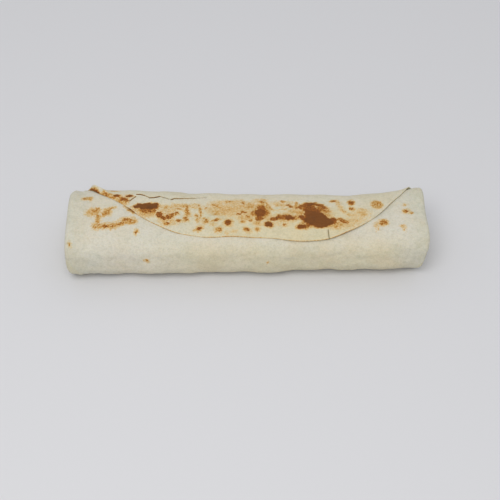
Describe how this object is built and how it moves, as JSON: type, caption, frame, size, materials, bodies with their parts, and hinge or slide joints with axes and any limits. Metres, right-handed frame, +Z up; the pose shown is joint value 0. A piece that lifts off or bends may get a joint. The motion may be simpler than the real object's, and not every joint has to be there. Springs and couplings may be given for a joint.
{
  "type": "durum wrap",
  "caption": "Long rolled and griddle-pressed flatbread wrap with folded-in ends, a round-edged flap over the top and browned blisters, lying flat.",
  "frame": {"origin": "middle of the underside, on the surface that the wrap lies on", "axes": "+X along the roll to the right-hand end seen from the front, +Y from the flap's edge side to the back, +Z up"},
  "size_m": [0.291, 0.0772, 0.0435],
  "materials": {
    "flatbread": null
  },
  "bodies": {
    "root": {"durum_wrap": "flatbread"}
  },
  "joints": []
}
